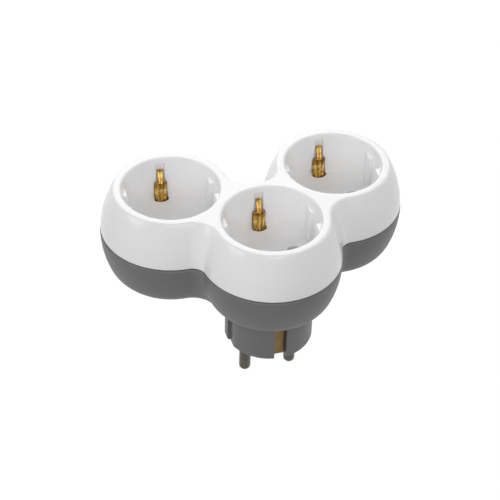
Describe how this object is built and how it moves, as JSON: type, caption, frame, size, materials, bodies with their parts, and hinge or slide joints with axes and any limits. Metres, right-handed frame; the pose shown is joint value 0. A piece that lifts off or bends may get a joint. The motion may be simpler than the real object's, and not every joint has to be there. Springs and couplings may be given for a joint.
{
  "type": "triple socket adapter",
  "caption": "Earthed round plug that feeds three round recessed sockets set in a three-lobed two-tone housing.",
  "frame": {"origin": "middle of the plug's face, the face that meets the floor of a wall socket", "axes": "+Z from the plug's face through the middle socket, +X along the line of the two pins, +Y towards the two outer sockets"},
  "size_m": [0.1236, 0.0844, 0.078],
  "materials": {
    "cover_white": "glossy moulded white",
    "base_grey": "satin moulded grey",
    "contact_brass": "stamped brass",
    "pin_nickel": "nickel-plated turned brass",
    "plate_cream": "matt insulating board",
    "screw_steel": "zinc-plated"
  },
  "bodies": {
    "root": {"top_cover": "cover_white", "base_shell": "base_grey", "plug_pin_left": "pin_nickel", "plug_pin_right": "pin_nickel", "left_pole_bar": "contact_brass", "right_pole_bar": "contact_brass", "left_socket_left_clip": "contact_brass", "left_socket_right_clip": "contact_brass", "middle_socket_left_clip": "contact_brass", "middle_socket_right_clip": "contact_brass", "right_socket_left_clip": "contact_brass", "right_socket_right_clip": "contact_brass", "earth_strap": "contact_brass", "left_socket_back_earth_spring": "contact_brass", "left_socket_front_earth_spring": "contact_brass", "middle_socket_back_earth_spring": "contact_brass", "middle_socket_front_earth_spring": "contact_brass", "right_socket_back_earth_spring": "contact_brass", "right_socket_front_earth_spring": "contact_brass", "plug_earth_contact_front": "contact_brass", "plug_earth_contact_back": "contact_brass", "insulating_plate": "plate_cream", "case_screw_left_front": "screw_steel", "case_screw_left_back": "screw_steel", "case_screw_right_front": "screw_steel", "case_screw_right_back": "screw_steel"}
  },
  "joints": []
}
